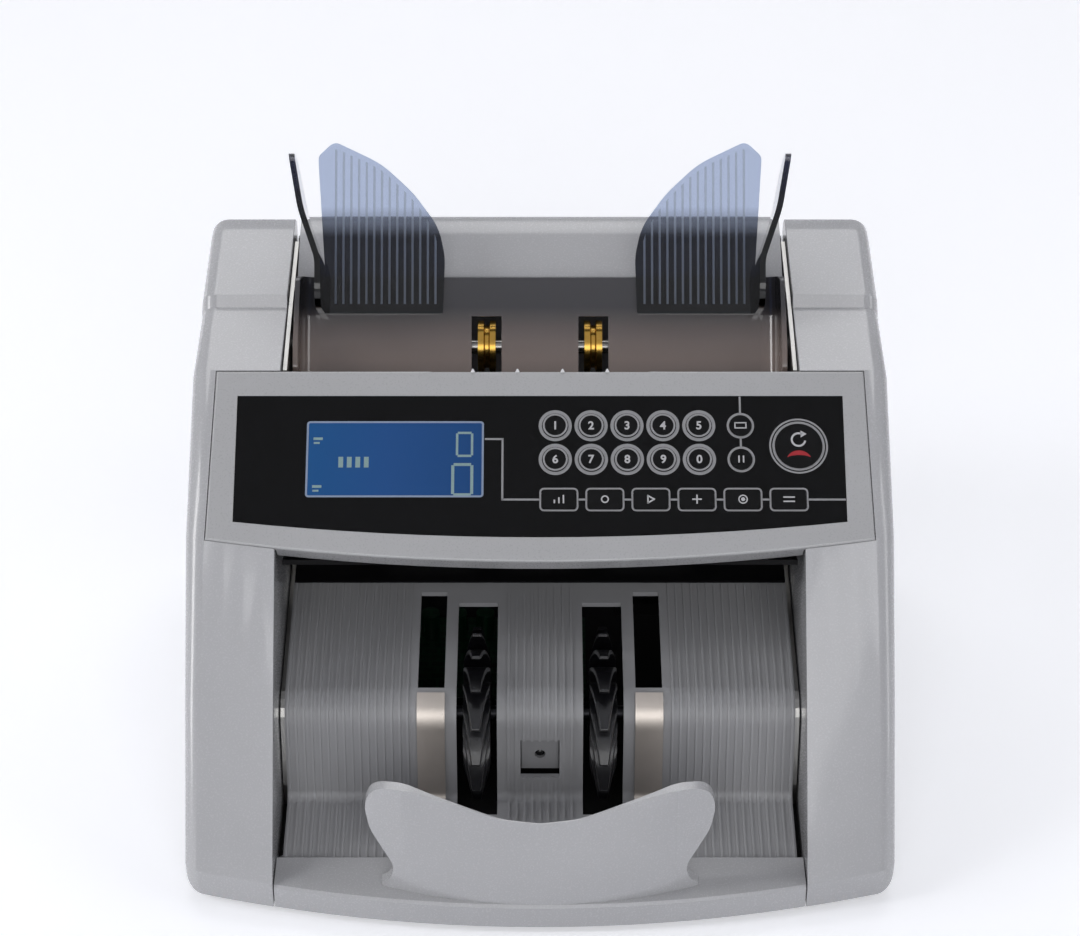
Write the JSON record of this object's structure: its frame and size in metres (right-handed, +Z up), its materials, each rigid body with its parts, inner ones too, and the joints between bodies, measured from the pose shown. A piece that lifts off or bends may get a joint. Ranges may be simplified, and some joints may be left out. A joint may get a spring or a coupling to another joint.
{
  "type": "banknote counting machine",
  "caption": "Desktop front-stacking banknote counter with sloping control panel, display and keys, smoked hopper with sliding note guides, and an open stacker pocket with vaned wheels.",
  "frame": {"origin": "on the surface it stands on, under the middle of the machine", "axes": "+Z up; the front with the stacker pocket and control panel faces -Y; +X to the right as the operator sees it"},
  "size_m": [0.282, 0.2589, 0.2231],
  "materials": {
    "body_plastic": "satin moulded",
    "bezel_plastic": "satin moulded",
    "plate_plastic": "ribbed, matt",
    "black_plastic": "matt",
    "overlay_gloss": "high gloss",
    "lcd_glass": "blue backlit display window",
    "circuit_board": "solder mask",
    "key_plastic": "satin",
    "smoked_plastic": "smoked translucent",
    "guide_plastic": "blue-grey smoked translucent",
    "shaft_steel": "ground",
    "frame_steel": "zinc plated sheet",
    "strip_steel": "satin stainless",
    "motor_steel": "plated can",
    "hub_brass": "turned",
    "roller_rubber": "ground",
    "rubber_black": "moulded",
    "wheel_plastic": "semi-gloss"
  },
  "bodies": {
    "machine": {"base_chassis": "body_plastic", "rubber_feet": "rubber_black", "side_cover_left": "body_plastic", "side_cover_right": "body_plastic", "top_cover": "body_plastic", "rear_panel": "body_plastic", "control_panel_bezel": "bezel_plastic", "front_guide": "black_plastic", "stack_plate": "body_plastic", "panel_overlay": "overlay_gloss", "lcd_module": "lcd_glass", "keypad_board": "circuit_board", "side_frame_left": "frame_steel", "side_frame_right": "frame_steel", "ribbed_plate": "plate_plastic", "steel_strips": "strip_steel", "note_sensor": "black_plastic", "retard_shaft": "shaft_steel", "retard_rollers": "roller_rubber", "drive_motor": "motor_steel", "drive_belts": "roller_rubber", "main_board": "circuit_board", "transformer": "motor_steel", "ac_inlet": "black_plastic", "cover_screws": "shaft_steel"},
    "hopper": {"hopper_cover": "smoked_plastic", "guide_rail": "shaft_steel"},
    "guide_left": {"guide_left": "guide_plastic"},
    "guide_right": {"guide_right": "guide_plastic"},
    "pickup": {"pickup_shaft": "shaft_steel", "pickup_hubs": "hub_brass"},
    "feed": {"feed_shaft": "shaft_steel", "feed_rollers": "roller_rubber"},
    "transport": {"transport_shaft": "shaft_steel", "transport_rollers": "roller_rubber"},
    "pinch": {"pinch_rollers": "shaft_steel"},
    "stacker": {"stacker_shaft": "shaft_steel", "stacker_wheel_left": "wheel_plastic", "stacker_wheel_right": "wheel_plastic"},
    "motor_rotor": {"motor_pulley": "shaft_steel"},
    "rocker": {"power_switch": "black_plastic"},
    "key_1": {"key_1": "key_plastic"},
    "key_2": {"key_2": "key_plastic"},
    "key_3": {"key_3": "key_plastic"},
    "key_4": {"key_4": "key_plastic"},
    "key_5": {"key_5": "key_plastic"},
    "key_6": {"key_6": "key_plastic"},
    "key_7": {"key_7": "key_plastic"},
    "key_8": {"key_8": "key_plastic"},
    "key_9": {"key_9": "key_plastic"},
    "key_0": {"key_0": "key_plastic"},
    "key_small_upper": {"key_small_upper": "key_plastic"},
    "key_small_lower": {"key_small_lower": "key_plastic"},
    "key_large": {"key_large": "key_plastic"},
    "key_function_1": {"key_function_1": "key_plastic"},
    "key_function_2": {"key_function_2": "key_plastic"},
    "key_function_3": {"key_function_3": "key_plastic"},
    "key_function_4": {"key_function_4": "key_plastic"},
    "key_function_5": {"key_function_5": "key_plastic"},
    "key_function_6": {"key_function_6": "key_plastic"}
  },
  "joints": [
    {"name": "hopper_hinge", "type": "hinge", "parent": "machine", "child": "hopper", "pos_m": [0, 0.082, 0.1662], "axis": [-1, 0, 0], "range_deg": [0, 35]},
    {"name": "guide_left_slide", "type": "slide", "parent": "hopper", "child": "guide_left", "axis": [1, 0, 0], "range_m": [0, 0.033]},
    {"name": "guide_right_slide", "type": "slide", "parent": "hopper", "child": "guide_right", "axis": [-1, 0, 0], "range_m": [0, 0.033]},
    {"name": "transport_spin", "type": "hinge", "parent": "machine", "child": "transport", "pos_m": [0, 0.038, 0.084], "axis": [1, 0, 0], "continuous": true},
    {"name": "feed_spin", "type": "hinge", "parent": "machine", "child": "feed", "pos_m": [0, 0.06, 0.112], "axis": [1, 0, 0], "continuous": true},
    {"name": "pickup_spin", "type": "hinge", "parent": "machine", "child": "pickup", "pos_m": [0, 0.073, 0.1436], "axis": [1, 0, 0], "continuous": true},
    {"name": "stacker_spin", "type": "hinge", "parent": "machine", "child": "stacker", "pos_m": [0, -0.046, 0.0425], "axis": [1, 0, 0], "continuous": true},
    {"name": "pinch_spin", "type": "hinge", "parent": "machine", "child": "pinch", "pos_m": [0, 0.0215, 0.0957], "axis": [1, 0, 0], "continuous": true},
    {"name": "motor_spin", "type": "hinge", "parent": "machine", "child": "motor_rotor", "pos_m": [0, 0.095, 0.04], "axis": [1, 0, 0], "continuous": true},
    {"name": "power_rocker", "type": "hinge", "parent": "machine", "child": "rocker", "pos_m": [0.018, 0.1251, 0.031], "axis": [1, 0, 0], "range_deg": [0, 18]},
    {"name": "key_1_press", "type": "slide", "parent": "machine", "child": "key_1", "axis": [0, 0.5736, -0.8192], "range_m": [0, 0.0004], "stiffness_N_per_m": 400},
    {"name": "key_2_press", "type": "slide", "parent": "machine", "child": "key_2", "axis": [0, 0.5736, -0.8192], "range_m": [0, 0.0004], "stiffness_N_per_m": 400},
    {"name": "key_3_press", "type": "slide", "parent": "machine", "child": "key_3", "axis": [0, 0.5736, -0.8192], "range_m": [0, 0.0004], "stiffness_N_per_m": 400},
    {"name": "key_4_press", "type": "slide", "parent": "machine", "child": "key_4", "axis": [0, 0.5736, -0.8192], "range_m": [0, 0.0004], "stiffness_N_per_m": 400},
    {"name": "key_5_press", "type": "slide", "parent": "machine", "child": "key_5", "axis": [0, 0.5736, -0.8192], "range_m": [0, 0.0004], "stiffness_N_per_m": 400},
    {"name": "key_6_press", "type": "slide", "parent": "machine", "child": "key_6", "axis": [0, 0.5736, -0.8192], "range_m": [0, 0.0004], "stiffness_N_per_m": 400},
    {"name": "key_7_press", "type": "slide", "parent": "machine", "child": "key_7", "axis": [0, 0.5736, -0.8192], "range_m": [0, 0.0004], "stiffness_N_per_m": 400},
    {"name": "key_8_press", "type": "slide", "parent": "machine", "child": "key_8", "axis": [0, 0.5736, -0.8192], "range_m": [0, 0.0004], "stiffness_N_per_m": 400},
    {"name": "key_9_press", "type": "slide", "parent": "machine", "child": "key_9", "axis": [0, 0.5736, -0.8192], "range_m": [0, 0.0004], "stiffness_N_per_m": 400},
    {"name": "key_0_press", "type": "slide", "parent": "machine", "child": "key_0", "axis": [0, 0.5736, -0.8192], "range_m": [0, 0.0004], "stiffness_N_per_m": 400},
    {"name": "key_small_upper_press", "type": "slide", "parent": "machine", "child": "key_small_upper", "axis": [0, 0.5736, -0.8192], "range_m": [0, 0.0004], "stiffness_N_per_m": 400},
    {"name": "key_small_lower_press", "type": "slide", "parent": "machine", "child": "key_small_lower", "axis": [0, 0.5736, -0.8192], "range_m": [0, 0.0004], "stiffness_N_per_m": 400},
    {"name": "key_large_press", "type": "slide", "parent": "machine", "child": "key_large", "axis": [0, 0.5736, -0.8192], "range_m": [0, 0.0004], "stiffness_N_per_m": 400},
    {"name": "key_function_1_press", "type": "slide", "parent": "machine", "child": "key_function_1", "axis": [0, 0.5736, -0.8192], "range_m": [0, 0.0004], "stiffness_N_per_m": 400},
    {"name": "key_function_2_press", "type": "slide", "parent": "machine", "child": "key_function_2", "axis": [0, 0.5736, -0.8192], "range_m": [0, 0.0004], "stiffness_N_per_m": 400},
    {"name": "key_function_3_press", "type": "slide", "parent": "machine", "child": "key_function_3", "axis": [0, 0.5736, -0.8192], "range_m": [0, 0.0004], "stiffness_N_per_m": 400},
    {"name": "key_function_4_press", "type": "slide", "parent": "machine", "child": "key_function_4", "axis": [0, 0.5736, -0.8192], "range_m": [0, 0.0004], "stiffness_N_per_m": 400},
    {"name": "key_function_5_press", "type": "slide", "parent": "machine", "child": "key_function_5", "axis": [0, 0.5736, -0.8192], "range_m": [0, 0.0004], "stiffness_N_per_m": 400},
    {"name": "key_function_6_press", "type": "slide", "parent": "machine", "child": "key_function_6", "axis": [0, 0.5736, -0.8192], "range_m": [0, 0.0004], "stiffness_N_per_m": 400}
  ],
  "couplings": [
    {"joint": "feed_spin", "follows": "transport_spin", "ratio": 0.9},
    {"joint": "pickup_spin", "follows": "transport_spin", "ratio": 0.9},
    {"joint": "stacker_spin", "follows": "transport_spin", "ratio": 0.5},
    {"joint": "pinch_spin", "follows": "transport_spin", "ratio": -1.5},
    {"joint": "motor_spin", "follows": "transport_spin", "ratio": 2}
  ]
}
